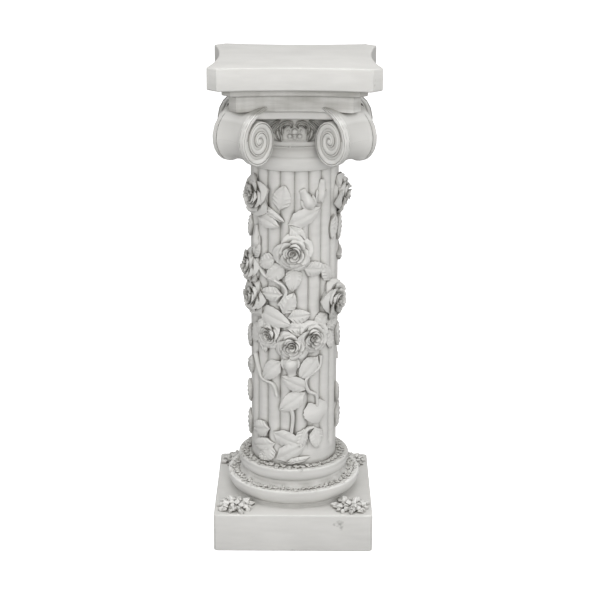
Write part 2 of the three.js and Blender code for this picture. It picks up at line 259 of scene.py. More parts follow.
class Nodes:
    """Adds nodes to a tree and links them."""

    def __init__(self, tree):
        self.tree = tree

    def add(self, kind, settings=None, inputs=None, output=0):
        node = self.tree.nodes.new(kind)
        for name, value in (settings or {}).items():
            setattr(node, name, value)
        for name, value in (inputs or {}).items():
            self.feed(node.inputs[name], value)
        return Field(self, node.outputs[output]) if node.outputs else node

    def feed(self, socket, value):
        if isinstance(value, Field):
            self.tree.links.new(value.socket, socket)
        else:
            socket.default_value = value

    def vector(self, x, y, z):
        return self.add("ShaderNodeCombineXYZ", {}, {0: x, 1: y, 2: z})

    def mixed(self, factor, first, second):
        """One colour mixed into another by a factor."""
        return self.add("ShaderNodeMix", {"data_type": "RGBA"}, {0: factor, 6: first, 7: second}, 2)

    def attribute(self, name):
        return self.add("GeometryNodeInputNamedAttribute", {"data_type": "FLOAT"}, {0: name})


SOCKETS = {int: "NodeSocketInt", float: "NodeSocketFloat", object: "NodeSocketObject"}


def geometry_tree(name, **sizes):
    """A geometry tree with a named input for each size: its nodes, its inputs, its output."""
    tree = bpy.data.node_groups.new(name, "GeometryNodeTree")
    tree.interface.new_socket("Geometry", in_out="INPUT", socket_type="NodeSocketGeometry")
    tree.interface.new_socket("Geometry", in_out="OUTPUT", socket_type="NodeSocketGeometry")
    for label, kind in sizes.items():
        tree.interface.new_socket(label, in_out="INPUT", socket_type=SOCKETS[kind])
    nodes = Nodes(tree)
    source = tree.nodes.new("NodeGroupInput")
    inputs = {socket.name: Field(nodes, socket) for socket in source.outputs if socket.name}
    return nodes, inputs


def end_tree(nodes, geometry, material):
    """Ends a geometry tree in real mesh with its material."""
    real = nodes.add("GeometryNodeRealizeInstances", {}, {0: geometry})
    painted = nodes.add("GeometryNodeSetMaterial", {}, {"Geometry": real, "Material": material})
    result = nodes.tree.nodes.new("NodeGroupOutput")
    nodes.feed(result.inputs[0], painted)
    return nodes.tree


def grown(tree, mesh, **sizes):
    """The plain mesh that a tree makes from a mesh and its sizes; a size may be a pattern mesh."""
    holder = bpy.data.objects.new(tree.name, mesh)
    bpy.context.scene.collection.objects.link(holder)
    modifier = holder.modifiers.new(tree.name, "NODES")
    modifier.node_group = tree
    patterns = []
    for socket in tree.interface.items_tree:
        if socket.in_out == "INPUT" and socket.name in sizes:
            value = sizes[socket.name]
            if isinstance(value, bpy.types.Mesh):
                value = bpy.data.objects.new("pattern", value)
                patterns.append(value)
            modifier[socket.identifier] = value
    evaluated = holder.evaluated_get(bpy.context.evaluated_depsgraph_get())
    made = bpy.data.meshes.new_from_object(evaluated)
    for used in [holder, *patterns]:
        bpy.data.objects.remove(used)
    return made


# Mesh helpers

def outward(points, faces):
    """A closed mesh with its faces pointing out."""
    volume = 0.0
    for face in faces:
        first = points[face[0]]
        for b, c in zip(face[1:], face[2:]):
            volume += np.dot(first, np.cross(points[b], points[c]))
    facing = faces if volume > 0 else [face[::-1] for face in faces]
    mesh = bpy.data.meshes.new("part")
    mesh.from_pydata([tuple(point) for point in points], [], facing)
    return mesh


def grid_faces(rows, columns):
    return [
        [r * columns + c, r * columns + c + 1, (r + 1) * columns + c + 1, (r + 1) * columns + c]
        for r in range(rows - 1)
        for c in range(columns - 1)
    ]


def backed(front, back, faces):
    """A sheet and its back joined by walls along its open edges into a closed mesh."""
    front = np.asarray(front, float)
    count = len(front)
    edges = {(a, b) for face in faces for a, b in zip(face, face[1:] + face[:1])}
    walls = [[b, a, a + count, b + count] for a, b in edges if (b, a) not in edges]
    walls.sort()
    backs = [[i + count for i in reversed(face)] for face in faces]
    return outward(np.vstack([front, back]), faces + backs + walls)


def lofted(rings):
    """A closed mesh through rings of equal length, with a flat face at each end."""
    rings = np.asarray(rings, float)
    count, length, _ = rings.shape
    faces = [list(range(length))[::-1], list(range((count - 1) * length, count * length))]
    for r in range(count - 1):
        for c in range(length):
            d = (c + 1) % length
            faces.append([r * length + c, r * length + d, (r + 1) * length + d, (r + 1) * length + c])
    return outward(rings.reshape(-1, 3), faces)


def turned(profile, steps=ROUND_STEPS):
    """A turned body through (radius, height) points."""
    angles = np.arange(steps) * 2 * math.pi / steps
    return lofted([
        np.column_stack([radius * np.sin(angles), -radius * np.cos(angles), np.full(steps, height)])
        for radius, height in profile
    ])


def moved(mesh, matrix):
    """A mesh turned and moved to its place."""
    placed = mesh.copy()
    placed.transform(matrix)
    return placed


def at_angle(angle):
    return Matrix.Rotation(math.radians(angle), 4, "Z")


def joined(meshes):
    whole = bmesh.new()
    for mesh in meshes:
        whole.from_mesh(mesh)
    result = bpy.data.meshes.new("joined")
    whole.to_mesh(result)
    whole.free()
    return result


def smooth_steps(count):
    return np.linspace(0.0, 1.0, count)


# Cast stone

def smudge(nodes, place, centre, size, noise):
    """A soft blotch round a point of the surface, ragged by noise."""
    gap = nodes.add("ShaderNodeVectorMath", {"operation": "DISTANCE"}, {0: place, 1: centre}, "Value")
    ragged = gap / size + (noise - 0.5) * 2.2
    return (1.0 - ragged).at_least(0.0).at_most(1.0)


def cast_stone():
    """Matte off-white casting with a grey-brown wash settled in its recesses, painted shade under overhangs
    and between parts, and painted light on the scrolls and the sides of the base.
    """
    material = bpy.data.materials.new("cast_stone")
    material.use_nodes = True
    material.node_tree.nodes.clear()
    nodes = Nodes(material.node_tree)
    place = nodes.add("ShaderNodeTexCoord", output="Object")

    def noise(scale, detail=4.0, stretch=(1.0, 1.0, 1.0)):
        spread = nodes.add("ShaderNodeMapping", {}, {"Vector": place, "Scale": stretch})
        sizes = {"Vector": spread, "Scale": scale, "Detail": detail, "Roughness": 0.55}
        return nodes.add("ShaderNodeTexNoise", {}, sizes, "Fac")

    clouds = noise(9.0)
    mottle = noise(48.0, 6.0)
    streaks = noise(22.0, 5.0, (1.0, 1.0, 5.0))
    grain = noise(900.0, 3.0)
    pits = noise(260.0, 3.0)

    fine = nodes.add(
        "ShaderNodeAmbientOcclusion", {"samples": 10, "only_local": True}, {"Distance": 0.0022}, "AO")
    narrow = nodes.add(
        "ShaderNodeAmbientOcclusion", {"samples": 12, "only_local": True}, {"Distance": 0.007}, "AO")
    broad = nodes.add(
        "ShaderNodeAmbientOcclusion", {"samples": 12, "only_local": True}, {"Distance": 0.030}, "AO")
    drips = noise(60.0, 4.0, (1.0, 1.0, 0.12))
    uneven = (mottle - 0.5) * 0.4 + (drips - 0.5) * 0.35
    # Painted shade: darker where broad occlusion finds the surface under overhangs or between parts
    shade = ((1.0 - broad) * 0.9 - 0.1 + uneven * 0.3).at_least(0.0).at_most(1.0)
    height = place.part("Z")

    def band(low, high, soft=0.004):
        """One between two heights, fading out over a soft edge."""
        rise = ((height - low) / soft).at_least(0.0).at_most(1.0)
        return rise * ((high - height) / soft).at_least(0.0).at_most(1.0)

    on_wreaths = band(LOWER_RIM + 0.0015, LOWER_RIM + 0.009) + band(UPPER_RIM + 0.0015, UPPER_RIM + 0.010)
    # Wash settled in recesses and creases, made stronger to stand in for the shade there as well
    recess = (1.0 - narrow) * 1.2 + (1.0 - fine) * (0.45 + on_wreaths * 1.5) - 0.18 + uneven * (1.3 - narrow)
    recess = recess.at_least(0.0).at_most(1.0)
    brushed = noise(30.0, 5.0, (0.5, 0.5, 3.0))
    streaked = 0.52 + (brushed - 0.5) * 1.9 + (drips - 0.5) * 0.8
    # Painted shade on the block under the slab's overhang, broken into streaks as of a wash
    shade_and_wash_under_slab = band(BELL_TOP + 0.009, BELL_TOP + 0.051) * streaked
    in_wreaths = on_wreaths * (0.38 + (mottle - 0.5) * 1.8)
    # Painted shade: the bell under the capital's block and scrolls made evenly darker
    painted_shade_on_bell = band(COLLAR_TOP + 0.001, BELL_TOP + 0.001) * 0.30
    # Mask of painted shade under the capital together with the wash in the wreaths
    wash_and_painted_shade = (shade_and_wash_under_slab.at_least(0.0) + in_wreaths.at_least(0.0) + painted_shade_on_bell).at_most(1.0)

    pale = (0.640, 0.632, 0.610, 1.0)
    # Pale colour of painted light
    painted_highlight = (0.780, 0.772, 0.750, 1.0)
    grey = (0.560, 0.553, 0.532, 1.0)
    wash = (0.180, 0.172, 0.152, 1.0)
    # Grey of painted shade and of the wash in the wreaths
    wash_and_shade_grey = (0.360, 0.352, 0.325, 1.0)
    stain = (0.250, 0.246, 0.232, 1.0)
    tint = (clouds * 1.2 + streaks * 1.4 - 0.95 + (brushed - 0.5) * 0.9).at_least(0.0).at_most(1.0)
    body = nodes.mixed(tint, pale, grey)
    across = place.part("X")
    reach = (across * across + place.part("Y") * place.part("Y")).root()
    sideways = across * across / (reach * reach).at_least(0.0001)
    far_out = ((reach - 0.085) / 0.01).at_least(0.0).at_most(1.0)
    # Painted light: the scroll drums, and the sides of the base facing left and right, made paler where more
    # light falls
    painted_light = band(SCROLL_HEIGHT - 0.050, SCROLL_HEIGHT + 0.050, 0.01) * far_out * 0.75
    painted_light = painted_light + band(PLINTH_TOP + 0.004, UPPER_RIM - 0.002) * sideways
    # Painted light mixed in
    body = nodes.mixed(painted_light, body, painted_highlight)
    # Painted shade from broad occlusion, mixed toward the grey of shade and wash
    body = nodes.mixed(shade * 0.45, body, wash_and_shade_grey)
    # Painted shade under the capital and wash in the wreaths, mixed toward grey
    body = nodes.mixed(wash_and_painted_shade, body, wash_and_shade_grey)
    body = nodes.mixed(recess, body, wash)
    blotches = [
        ((0.0735, -0.1245, 0.0475), 0.0060), ((0.0755, -0.1245, 0.0405), 0.0042),
        ((0.0640, -0.1245, 0.0465), 0.0030), ((0.1145, -0.1232, 0.7455), 0.0022),
        ((0.1130, -0.1240, 0.7385), 0.0026), ((0.0, -0.1245, 0.001), 0.004),
    ]
    for centre, size in blotches:
        body = nodes.mixed(smudge(nodes, place, centre, size, pits) * 0.75, body, stain)

    rise = grain * 0.35 + pits * 0.65
    bump = nodes.add("ShaderNodeBump", {}, {"Strength": 0.22, "Distance": 0.0006, "Height": rise})
    rough = 0.62 + mottle * 0.22
    shader = nodes.tree.nodes.new("ShaderNodeBsdfPrincipled")
    shader.inputs["Specular IOR Level"].default_value = 0.35
    nodes.feed(shader.inputs["Base Color"], body)
    nodes.feed(shader.inputs["Roughness"], rough)
    nodes.feed(shader.inputs["Normal"], bump)
    result = nodes.tree.nodes.new("ShaderNodeOutputMaterial")
    nodes.tree.links.new(shader.outputs[0], result.inputs["Surface"])
    return material


STONE = cast_stone()


# Square steps, base and turned capital

def hollow_square(half, hollow, cut, steps=14):
    """The outline of a square with hollow sides and cut corners."""
    along = np.linspace(-1.0, 1.0, steps)
    side = np.column_stack([along * (half - cut), -half + hollow * (1.0 - along ** 2)])
    turns = [np.array([[c, s], [-s, c]]) for c, s in ((1, 0), (0, 1), (-1, 0), (0, -1))]
    return np.vstack([side @ turn for turn in turns])


def square_step(foot, top, half, hollow, cut, soft=SOFT_EDGE):
    """A square slab with softly rounded edges."""
    rings = []
    for end, sign in ((foot, 1), (top, -1)):
        bends = smooth_steps(5) * math.pi / 2
        edge = [(soft * (1 - math.sin(b)), end + sign * soft * (1 - math.cos(b))) for b in bends]
        rings += edge if sign > 0 else edge[::-1]
    return lofted([
        np.column_stack([outline, np.full(len(outline), height)])
        for inset, height in rings
        for outline in [hollow_square(half - inset, hollow, cut)]
    ])


def bowl_side(foot_radius, foot, radius, rim, steps=12):
    bends = smooth_steps(steps) * math.pi / 2
    return [
        (foot_radius + (radius - foot_radius) * math.sin(b), rim - (rim - foot) * math.cos(b))
        for b in bends
    ]


def rolled_rim(radius, rim, drop=0.004):
    """A bowl's rounded upper edge and the sunk bed of the wreath on it."""
    return [
        (radius, rim + 0.0010), (radius - 0.0010, rim + 0.0024), (radius - 0.0030, rim + 0.0030),
        (radius - 0.4 * WREATH_WIDTH, rim + 0.0026), (radius - WREATH_WIDTH, rim + 0.0026 - drop / 4),
    ]


def base():
    foot = PLINTH_TOP - SINK
    flare = [
        (LOWER_FOOT_RADIUS + 0.0110 * (1 - t) ** 2, PLINTH_TOP - 0.0004 + 0.0056 * t ** 2)
        for t in smooth_steps(6)
    ]
    return turned([
        (flare[0][0], foot),
        *flare,
        *bowl_side(LOWER_FOOT_RADIUS, PLINTH_TOP + 0.006, LOWER_RADIUS, LOWER_RIM),
        *rolled_rim(LOWER_RADIUS, LOWER_RIM),
        (HOLLOW_RADIUS + 0.004, LOWER_RIM + 0.003),
        (HOLLOW_RADIUS + 0.001, LOWER_RIM + 0.006),
        (HOLLOW_RADIUS, LOWER_RIM + 0.011),
        (HOLLOW_RADIUS + 0.0005, UPPER_FOOT - 0.001),
        *bowl_side(HOLLOW_RADIUS + 0.002, UPPER_FOOT, UPPER_RADIUS, UPPER_RIM),
        *rolled_rim(UPPER_RADIUS, UPPER_RIM),
        (SHAFT_RADIUS, UPPER_RIM + 0.0022),
        (SHAFT_RADIUS - SINK, UPPER_RIM + 0.0022),
    ])


def half_round(radius, foot, top, bulge, steps=9):
    bends = smooth_steps(steps) * math.pi
    return [
        (radius + bulge * math.sin(b), (foot + top) / 2 - (top - foot) / 2 * math.cos(b))
        for b in bends
    ]


def collar_and_bell():
    neck = [
        (NECK_RADIUS + 0.0035 * (1 - math.sin(b)), COLLAR_TOP + (NECK_TOP - COLLAR_TOP) * t)
        for t in smooth_steps(9)
        for b in [t * math.pi]
    ]
    return turned([
        (SHAFT_RADIUS - SINK, COLLAR_FOOT),
        (COLLAR_RADIUS - 0.0006, COLLAR_FOOT),
        (COLLAR_RADIUS, COLLAR_FOOT + 0.0008),
        (COLLAR_RADIUS - 0.0010, COLLAR_TOP - 0.0040),
        (COLLAR_RADIUS - 0.0020, COLLAR_TOP - 0.0015),
        (COLLAR_RADIUS - 0.0040, COLLAR_TOP - 0.0002),
        *neck,
        (BEAD_RADIUS - 0.0022, NECK_TOP + 0.0003),
        (BEAD_RADIUS - 0.0018, BEAD_FOOT),
        *half_round(BEAD_RADIUS - 0.0024, BEAD_FOOT + 0.001, BEAD_TOP - 0.001, 0.0026),
        (BEAD_RADIUS - 0.0030, BEAD_TOP),
        (BELL_RADIUS, BEAD_TOP + 0.0008),
        (BELL_RADIUS, BELL_TOP - 0.005),
        (BELL_RADIUS + 0.003, BELL_TOP),
        (BELL_RADIUS + 0.006, BELL_TOP + 0.002),
        (BELL_RADIUS + 0.006, BELL_TOP + 0.011),
    ])


def reeded_shaft():
    """The shaft: round reeds that meet in creases, one of them at the front, and run out at the foot."""
    nodes, size = geometry_tree(
        "reeded shaft", Radius=float, Foot=float, Top=float, Reeds=int, Depth=float, ReedFoot=float,
        ReedEnd=float, FootBand=float)
    tube = nodes.add(
        "GeometryNodeMeshCylinder", {"fill_type": "NGON"},
        {"Vertices": size["Reeds"] * REED_STEPS, "Side Segments": SHAFT_LEVELS, "Radius": 1.0, "Depth": 1.0},
        "Mesh")
    place = nodes.add("GeometryNodeInputPosition")
    across = place.part("X")
    deep = place.part("Y")
    step = place.part("Z") + 0.5
    low = (step / 0.8).at_most(1.0)
    high = ((step - 0.8) / 0.2).at_least(0.0)
    rest = size["Top"] - size["Foot"] - size["FootBand"]
    height = size["Foot"] + low * size["FootBand"] + high * rest
    turn = across.angle_to(-deep)
    pitch = size["Radius"] * (2 * math.pi) / size["Reeds"]
    count = turn * size["Reeds"] / (2 * math.pi) + 0.5
    aside = (count - count.rounded()) * pitch
    depth = size["Depth"]
    curve = depth / 2 + pitch * pitch / (depth * 8)
    crown = (curve * curve - aside * aside).root()
    share = ((height - size["ReedFoot"]) / size["ReedEnd"]).at_least(0.0).at_most(1.0)
    radius = size["Radius"] - (curve - crown) * share * (2.0 - share)
    shaped = nodes.add("GeometryNodeSetPosition", {}, {
        "Geometry": tube,
        "Position": nodes.vector(radius * turn.sine(), -(radius * turn.cosine()), height),
    })
    tree = end_tree(nodes, shaped, STONE)
    blank = bpy.data.meshes.new("blank")
    return grown(
        tree, blank, Radius=SHAFT_RADIUS, Foot=UPPER_RIM - SINK, Top=SHAFT_TOP, Reeds=REEDS,
        Depth=REED_DEPTH, ReedFoot=REED_FOOT, ReedEnd=REED_END,
        FootBand=SHAFT_FOOT_BAND)


# Corner scrolls

def coil(turns, inset=0.0):
    """The coil's edge at a number of turns from its outermost point; negative turns lead in to it."""
    turns = np.asarray(turns, float)
    radius = np.maximum(COIL_RADIUS - COIL_PITCH * turns - inset, COIL_HEART)
    angle = -2 * math.pi * turns
    inner = np.column_stack([radius * np.cos(angle), SCROLL_TALLNESS * radius * np.sin(angle)])
    narrow = inset * (1.0 + (1.0 - LEAD_TAPER) * 4 * np.minimum(turns, 0.0))
    lead = np.column_stack([
        COIL_RADIUS - LEAD_OUT + (LEAD_OUT - narrow) * np.cos(angle), (LEAD_UP - narrow) * np.sin(angle)])
    return np.where(turns[:, None] < 0, lead, inner)


def scroll_loft(outline):
    """A scroll's section carried along its axis, hollowed between ridged ends."""
    stations = np.array([
        (0.0, WAIST), (0.2, WAIST + 0.01), (0.4, WAIST + 0.04), (0.55, WAIST + 0.075),
        (0.68, WAIST + 0.115), (0.72, 0.985), (0.78, 0.985), (0.80, 0.950), (0.85, 0.950),
        (0.87, 1.0), (1.0, 1.0),
    ])
    signed = [(-reach, width) for reach, width in stations[:0:-1]] + [tuple(s) for s in stations]
    rings = []
    for reach, width in signed:
        ring = outline.copy()
        ring[:, 0] = np.where(ring[:, 0] > 0, ring[:, 0] * width, ring[:, 0])
        ring[:, 1] = np.where(ring[:, 1] < 0, ring[:, 1] * width, ring[:, 1])
        along = np.full(len(ring), reach * SCROLL_HALF_LENGTH)
        rings.append(np.column_stack([ring[:, 0], along, ring[:, 1]]))
    return lofted(rings)


# Across the ribbon from its outer edge: (share of the pitch, height as a share of the raise)
RIBBON_SECTION = [
    (0.0, 0.55), (0.05, 0.95), (0.13, 1.0), (0.18, 0.62), (0.24, 0.92), (0.40, 1.05), (0.56, 0.85),
    (0.66, 0.60), (0.72, 0.10), (1.0, 0.05),
]


def scroll_end(side):
    """The coiling ribbon carved on one end of a scroll, closed at its back inside the scroll."""
    turns = np.linspace(-0.25, COIL_TURNS, COIL_STEPS)
    share = np.array([s for s, _ in RIBBON_SECTION])
    rise = np.array([h for _, h in RIBBON_SECTION])
    rows = []
    for s, h in zip(share, rise):
        plan = coil(turns, s * COIL_PITCH)
        along = SCROLL_HALF_LENGTH - 0.0008 + h * RIBBON_RAISE
        rows.append(np.column_stack([plan[:, 0], np.full(len(plan), along), plan[:, 1]]))
    front = np.array(rows).reshape(-1, 3)
    back = front.copy()
    back[:, 1] = SCROLL_HALF_LENGTH - 0.006
    for sheet in (front, back):
        sheet[:, 1] *= side
    return backed(front, back, grid_faces(len(share), len(turns)))


def ball(centre, radii, steps=10):
    """A small round boss."""
    bends = np.linspace(0.06, math.pi - 0.06, steps // 2 + 1)
    angles = np.arange(steps) * 2 * math.pi / steps
    return lofted([
        np.column_stack([
            centre[0] + radii[0] * math.sin(b) * np.cos(angles),
            centre[1] + radii[1] * math.sin(b) * np.sin(angles),
            np.full(steps, centre[2] - radii[2] * math.cos(b)),
        ])
        for b in bends
    ])


def scrolls():
    drum = scroll_loft(coil(np.arange(44) / 44))
    lead_turns = np.linspace(-0.25, 0.03, 14)
    band = np.vstack([coil(lead_turns), coil(lead_turns[::-1], LEAD_BAND)])
    pieces = [drum, scroll_loft(band)]
    for side in (-1, 1):
        pieces.append(scroll_end(side))
        pieces.append(ball((0.0, side * SCROLL_HALF_LENGTH, 0.0), EYE_RADII))
    place = Matrix.Translation((SCROLL_REACH, 0.0, SCROLL_HEIGHT))
    return [
        moved(piece, at_angle(45 + 90 * corner) @ place)
        for corner in range(4)
        for piece in pieces
    ]


# Foliage

# Rows of a leaf between two veins: (share of the way to the next vein, height above the vein)
LEAF_SWELL = [(0.0, 0.0), (0.42, 1.0)]
LEAF_VEINS = 5
LEAF_COLUMNS = np.array([-1.0, -0.62, -0.26, -0.08, 0.08, 0.26, 0.62, 1.0])


def leaf(drop, tip_rise, fold, bend, vein=0.040, lobes=0.0):
    """A leaf of unit size, base at the origin and tip along y, swelling between forward-swept veins.

    Lobes above zero make it heart-shaped, with its base in the notch."""
    share = [(k + part) / LEAF_VEINS for k in range(LEAF_VEINS) for part, _ in LEAF_SWELL]
    swell = [height for _ in range(LEAF_VEINS) for _, height in LEAF_SWELL]
    station = np.append(0.93 * np.array(share), (0.93, 1.0))[:, None]
    swell = np.append(swell, (0.0, 0.0))[:, None]
    across = LEAF_COLUMNS[None, :]
    sweep = 0.24 * np.abs(across) if lobes == 0.0 else -lobes * np.sin(math.pi * np.abs(across))
    y = station + sweep * (1.0 - station)
    plain = 0.015 + 0.485 * np.sin(math.pi * np.clip(y, 0.0, 1.0) ** 0.85) ** 0.72
    heart = 0.5 * np.sin(math.pi * (0.28 + 0.72 * station)) ** 0.8
    half = (heart if lobes else plain) * (0.95 + 0.07 * swell)
    aside = bend * y ** 2
    x = across * half + aside
    side = np.minimum(np.abs(across) / 0.26, 1.0)
    arch = np.sin(math.pi * (0.14 + 0.72 * np.clip(y, 0.0, 1.0)))
    z = 0.135 * arch * (1.0 - drop * across ** 2) + tip_rise * y ** 2 + fold * across * np.sin(math.pi * y)
    z = z + vein * swell * side * (1.0 - 0.5 * across ** 2) - 0.7 * vein * (1.0 - side)
    front = np.column_stack([x.ravel(), y.ravel(), z.ravel()])
    back = np.column_stack([
        0.75 * (x - aside).ravel() + aside.ravel(), 0.06 + 0.88 * y.ravel(), np.full(x.size, -0.17)])
    return backed(front, back, grid_faces(*x.shape))


LEAF_KINDS = [
    leaf(0.45, 0.045, 0.0, 0.0), leaf(0.35, 0.075, 0.035, 0.12), leaf(0.55, 0.025, -0.035, -0.12),
]
HEART_LEAF = leaf(0.35, 0.02, 0.0, 0.05, 0.012, 0.26)


def petal(reach, rise, span, roll, lean):
    """One petal of a rose of unit radius: a curved sheet from the heart to a rolled, pointed rim."""
    rows, columns = 5, 7
    out = np.linspace(0.0, 1.0, rows)[:, None]
    across = np.linspace(-1.0, 1.0, columns)[None, :]
    rim = 1.0 - 0.26 * np.abs(across) ** 2.2 + 0.05 * np.exp(-(across / 0.25) ** 2)
    edge = out * rim
    radius = reach * (0.28 + 0.72 * edge)
    angle = across * span * (0.5 + 0.5 * np.sin(out * math.pi * 0.6))
    curl = roll * np.maximum(edge - 0.70, 0.0) ** 2 / 0.09
    height = rise * (1.0 - (1.0 - edge) ** 2) - curl + lean * across * edge
    front = np.column_stack([
        (radius * np.sin(angle)).ravel(), (radius * np.cos(angle)).ravel(), height.ravel()])
    back = front * (0.92, 0.92, 1.0) - (0.0, 0.0, 0.13)
    return backed(front, back, grid_faces(rows, columns))


# Whorls of a rose from the outside in: petals, reach, rise, half span, roll, lean
WHORLS = [
    (5, 1.16, 0.30, 0.74, 0.24, 0.09),
    (5, 0.88, 0.46, 0.72, 0.18, 0.11),
    (4, 0.64, 0.57, 0.80, 0.12, 0.11),
    (3, 0.43, 0.63, 0.98, 0.06, 0.10),
    (2, 0.26, 0.66, 1.30, 0.02, 0.09),
]


def fused(mesh):
    """The overlapping closed parts of a mesh joined into one skin."""
    nodes, size = geometry_tree("fused casting")
    island = nodes.add("GeometryNodeInputMeshIsland", output="Island Index")
    parts = nodes.add(
        "GeometryNodeSplitToInstances", {"domain": "FACE"},
        {"Geometry": size["Geometry"], "Group ID": island})
    skin = nodes.add("GeometryNodeMeshBoolean", {"operation": "UNION", "solver": "MANIFOLD"}, {1: parts})
    return grown(end_tree(nodes, skin, STONE), mesh)


def rose(whorls):
    """A full-blown rose of unit radius facing up z, its heart a little off the middle of a solid cup."""
    chance = np.random.default_rng(5)
    petals = []
    for whorl, (count, reach, rise, span, roll, lean) in enumerate(whorls):
        shift = Matrix.Translation((0.025 * whorl, 0.018 * whorl, 0.0))
        for index in range(count):
            turn = at_angle(360 * index / count + 41 * whorl + chance.uniform(-11, 11))
            grow = chance.uniform(0.90, 1.06)
            lift = rise * chance.uniform(0.92, 1.08)
            petals.append(moved(petal(reach * grow, lift, span, roll, lean), shift @ turn))
    cup = turned([(0.60, -0.85), (0.84, -0.15), (0.84, 0.04), (0.50, 0.26), (0.16, 0.38)], 24)
    heart = ball((0.10, 0.07, 0.42), (0.07, 0.055, 0.22), 10)
    return fused(joined([*petals, cup, heart]))


def bud(width, length):
    """A closed bud along y: twisted petals that flare a little at the tip, in a cup of sepals."""
    steps = 16
    angles = np.arange(steps) * 2 * math.pi / steps
    outline = [
        (0.0, 0.30), (0.06, 0.62), (0.16, 0.88), (0.30, 1.00), (0.45, 0.96), (0.60, 0.80), (0.74, 0.60),
        (0.86, 0.50), (0.95, 0.52), (1.0, 0.36),
    ]
    rings = []
    for t, swell in outline:
        twist = 1.0 + 0.16 * np.cos(3 * angles + 3.5 * t) * min(1.0, 3 * t)
        reach = width / 2 * swell * twist
        rings.append(np.column_stack([
            reach * np.cos(angles), np.full(steps, length * (t - 0.5)), reach * np.sin(angles)]))
    pieces = [lofted(rings)]
    for turn in (20, 90, 160):
        aside = math.cos(math.radians(turn))
        lift = 0.36 * width * math.sin(math.radians(turn))
        size = Matrix.Diagonal((0.42 * width, 0.62 * length, 0.5 * width, 1.0))
        place = Matrix.Translation((0.25 * width * aside, -0.52 * length, lift))
        pieces.append(moved(LEAF_KINDS[0], place @ Matrix.Rotation(-0.25 * aside, 4, "Z") @ size))
    return fused(joined(pieces))


def stem(points):
    """A round stem along (angle, height) points on the shaft, drawn flat."""
    route = np.array([(math.radians(a) * SHAFT_RADIUS, z) for a, z in points])
    fine = np.linspace(0, len(route) - 1, 8 * (len(route) - 1) + 1)
    padded = np.vstack([2 * route[0] - route[1], route, 2 * route[-1] - route[-2]])
    centre = []
    for f in fine:
        k = min(int(f), len(route) - 2)
        t = f - k
        a, b, c, d = padded[k:k + 4]
        centre.append(0.5 * (
            2 * b + (c - a) * t + (2 * a - 5 * b + 4 * c - d) * t ** 2 + (3 * b - a - 3 * c + d) * t ** 3))
    centre = np.array(centre)
    ahead = np.gradient(centre, axis=0)
    ahead /= np.linalg.norm(ahead, axis=1)[:, None]
    aside = np.column_stack([ahead[:, 1], -ahead[:, 0]])
    angles = np.arange(8) * 2 * math.pi / 8
    rings = []
    for place, normal, t in zip(centre, aside, smooth_steps(len(centre))):
        radius = STEM_RADIUS * (1.0 - 0.25 * t)
        flat = place + np.outer(radius * np.cos(angles), normal)
        rings.append(np.column_stack([flat, STEM_LIFT + 1.3 * radius * np.sin(angles)]))
    return lofted(rings)


def marked_points(rows, **columns):
    """A mesh of loose points with a named value of each."""
    mesh = bpy.data.meshes.new("points")
    mesh.from_pydata([tuple(row) for row in rows], [], [])
    for name, values in columns.items():
        mesh.attributes.new(name, "FLOAT", "POINT").data.foreach_set("value", np.array(values, float))
    return mesh


def wrapped(nodes, geometry, radius):
    """Lays flat geometry (x across, y up, z out) round an upright cylinder."""
    place = nodes.add("GeometryNodeInputPosition")
    turn = place.part("X") / radius
    reach = place.part("Z") + radius
    bent = nodes.vector(reach * turn.sine(), -(reach * turn.cosine()), place.part("Y"))
    return nodes.add("GeometryNodeSetPosition", {}, {"Geometry": geometry, "Position": bent})


def laying_tree():
    """Leaves set on flat points by their lean, length and width, then laid round a cylinder."""
    nodes, size = geometry_tree("laid leaves", Leaf=object, Radius=float, Relief=float)
    pattern = nodes.add("GeometryNodeObjectInfo", {}, {"Object": size["Leaf"]}, "Geometry")
    euler = nodes.vector(0.0, 0.0, -nodes.attribute("lean"))
    turn = nodes.add("FunctionNodeEulerToRotation", {}, {0: euler})
    scale = nodes.vector(nodes.attribute("width"), nodes.attribute("length"), size["Relief"])
    copies = nodes.add("GeometryNodeInstanceOnPoints", {}, {
        "Points": size["Geometry"], "Instance": pattern, "Rotation": turn, "Scale": scale})
    real = nodes.add("GeometryNodeRealizeInstances", {}, {0: copies})
    return end_tree(nodes, wrapped(nodes, real, size["Radius"]), STONE)


def bending_tree():
    nodes, size = geometry_tree("bent round", Radius=float)
    return end_tree(nodes, wrapped(nodes, size["Geometry"], size["Radius"]), STONE)


LAYING = laying_tree()
BENDING = bending_tree()


def laid_leaves(leaves, kinds, radius):
    """Meshes of leaves given as (angle, height, lean, length, width), each kind in turn."""
    meshes = []
    for kind, pattern in enumerate(kinds):
        chosen = leaves[kind::len(kinds)]
        points = marked_points(
            [(math.radians(angle) * radius, height, 0.0) for angle, height, *_ in chosen],
            lean=[math.radians(row[2]) for row in chosen],
            length=[row[3] for row in chosen],
            width=[row[4] for row in chosen])
        meshes.append(grown(LAYING, points, Leaf=pattern, Radius=radius, Relief=LEAF_RELIEF))
    return meshes


